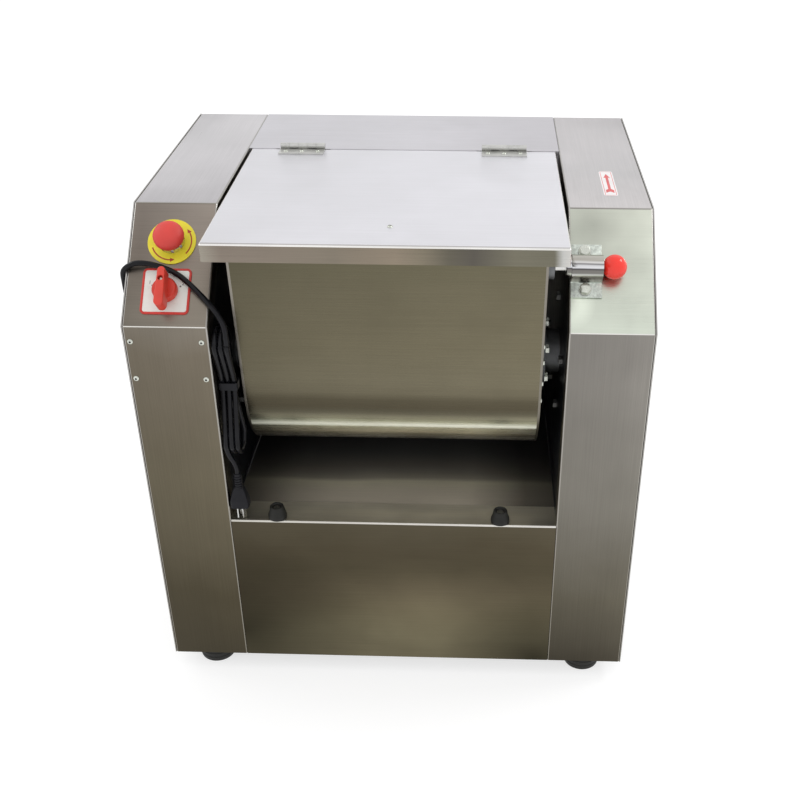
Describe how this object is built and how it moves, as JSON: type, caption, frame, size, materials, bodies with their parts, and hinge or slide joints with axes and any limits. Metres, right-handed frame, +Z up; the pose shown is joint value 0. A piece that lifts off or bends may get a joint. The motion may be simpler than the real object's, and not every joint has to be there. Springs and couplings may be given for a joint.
{
  "type": "horizontal dough mixer",
  "caption": "Floor-standing dough mixer with a tipping round-bottomed trough between two sheet steel casings, hinged lid, lock pin, stop button and switch.",
  "frame": {"origin": "centre of the outline on the floor, under the feet", "axes": "+X to the operator's right, -Y out of the front, +Z up"},
  "size_m": [0.6685, 0.52, 0.6825],
  "materials": {
    "brushed_steel": "satin stainless sheet",
    "trough_steel": "brushed stainless trough sheet",
    "lid_steel": "pale satin stainless sheet",
    "black_paint": "black painted plate",
    "frame_paint": "dark grey painted angle steel",
    "zinc": "zinc plated steel",
    "bright_steel": "bright turned steel",
    "cast_iron": "machined cast iron",
    "motor_paint": "blue grey motor paint",
    "rubber": "black moulded rubber",
    "red_plastic": "glossy red plastic",
    "yellow_plastic": "yellow plastic",
    "switch_face": "red frame with a white face",
    "dark_plastic": "black moulded plastic",
    "cord_sheath": "smooth black cord sheath"
  },
  "bodies": {
    "body": {"base_frame": "frame_paint", "rubber_feet": "rubber", "foot_and_bumper_bolts": "zinc", "left_casing": "brushed_steel", "right_casing": "brushed_steel", "left_side_cover": "brushed_steel", "right_side_cover": "brushed_steel", "cover_screws": "zinc", "left_side_plate": "black_paint", "right_side_plate": "black_paint", "side_plate_bolts": "zinc", "front_panel": "brushed_steel", "deck_plate": "brushed_steel", "back_panel": "brushed_steel", "rear_top_plate": "brushed_steel", "tilt_bumpers": "rubber", "bearing_housings": "cast_iron", "countershaft_bearing": "cast_iron", "drive_belt": "rubber", "motor_housing": "motor_paint", "motor_end_shields": "motor_paint", "motor_fan_cover": "motor_paint", "motor_base": "frame_paint", "terminal_box": "dark_plastic", "hinge_fixed_leaves": "bright_steel", "stop_ring": "yellow_plastic", "stop_body": "dark_plastic", "switch_plate": "switch_face", "switch_body": "dark_plastic", "casing_rivets": "zinc", "latch_bracket": "zinc", "latch_bolts": "zinc", "cord_gland": "dark_plastic", "power_cord": "cord_sheath", "cord_hank": "cord_sheath", "cord_tie": "dark_plastic", "plug_body": "dark_plastic"},
    "trough": {"trough_shell": "trough_steel", "trough_ends": "trough_steel", "trunnions": "cast_iron", "trunnion_bolts": "zinc", "latch_lug": "trough_steel"},
    "stirring_shaft": {"stirrer": "trough_steel", "drive_shaft": "bright_steel", "idler_shaft": "bright_steel", "bull_gear": "cast_iron"},
    "layshaft": {"countershaft": "bright_steel", "pinion_gear": "cast_iron", "driven_pulley": "cast_iron"},
    "rotor": {"motor_rotor": "bright_steel", "motor_fan": "dark_plastic", "motor_pulley": "cast_iron"},
    "lid": {"lid_panel": "lid_steel", "hinge_lid_leaves": "bright_steel", "lid_screws": "zinc"},
    "lock": {"lock_pin": "bright_steel", "lock_ball": "red_plastic"},
    "stop_plunger": {"stop_stem": "bright_steel"},
    "stop_cap": {"stop_head": "red_plastic"},
    "knob": {"switch_knob": "red_plastic"}
  },
  "joints": [
    {"name": "trough_tilt", "type": "hinge", "parent": "body", "child": "trough", "pos_m": [0, -0.0855, 0.453], "axis": [1, 0, 0], "range_deg": [0, 96]},
    {"name": "stirrer_spin", "type": "hinge", "parent": "body", "child": "stirring_shaft", "pos_m": [0, -0.0855, 0.453], "axis": [1, 0, 0], "continuous": true},
    {"name": "layshaft_spin", "type": "hinge", "parent": "body", "child": "layshaft", "pos_m": [0, 0.0473, 0.3853], "axis": [1, 0, 0], "continuous": true},
    {"name": "motor_spin", "type": "hinge", "parent": "body", "child": "rotor", "pos_m": [0, 0.0473, 0.15], "axis": [1, 0, 0], "continuous": true},
    {"name": "lid_hinge", "type": "hinge", "parent": "body", "child": "lid", "pos_m": [0, 0.09245, 0.6785], "axis": [-1, 0, 0], "range_deg": [0, 170]},
    {"name": "lock_pull", "type": "slide", "parent": "body", "child": "lock", "axis": [1, 0, 0], "range_m": [0, 0.02], "stiffness_N_per_m": 400, "springref_m": -0.01},
    {"name": "stop_push", "type": "slide", "parent": "body", "child": "stop_plunger", "axis": [0, 0.6796, -0.7336], "range_m": [0, 0.004], "stiffness_N_per_m": 2000, "springref_m": -0.002},
    {"name": "stop_twist", "type": "hinge", "parent": "stop_plunger", "child": "stop_cap", "pos_m": [-0.2714, -0.1656, 0.6373], "axis": [0, -0.6796, 0.7336], "range_deg": [0, 30], "stiffness_Nm_per_rad": 0.2, "springref_deg": -5.73},
    {"name": "switch_turn", "type": "hinge", "parent": "body", "child": "knob", "pos_m": [-0.273, -0.214, 0.5925], "axis": [0, -0.6796, 0.7336], "range_deg": [-45, 45]}
  ],
  "couplings": [
    {"joint": "layshaft_spin", "follows": "stirrer_spin", "ratio": -4},
    {"joint": "motor_spin", "follows": "stirrer_spin", "ratio": -11.492}
  ]
}
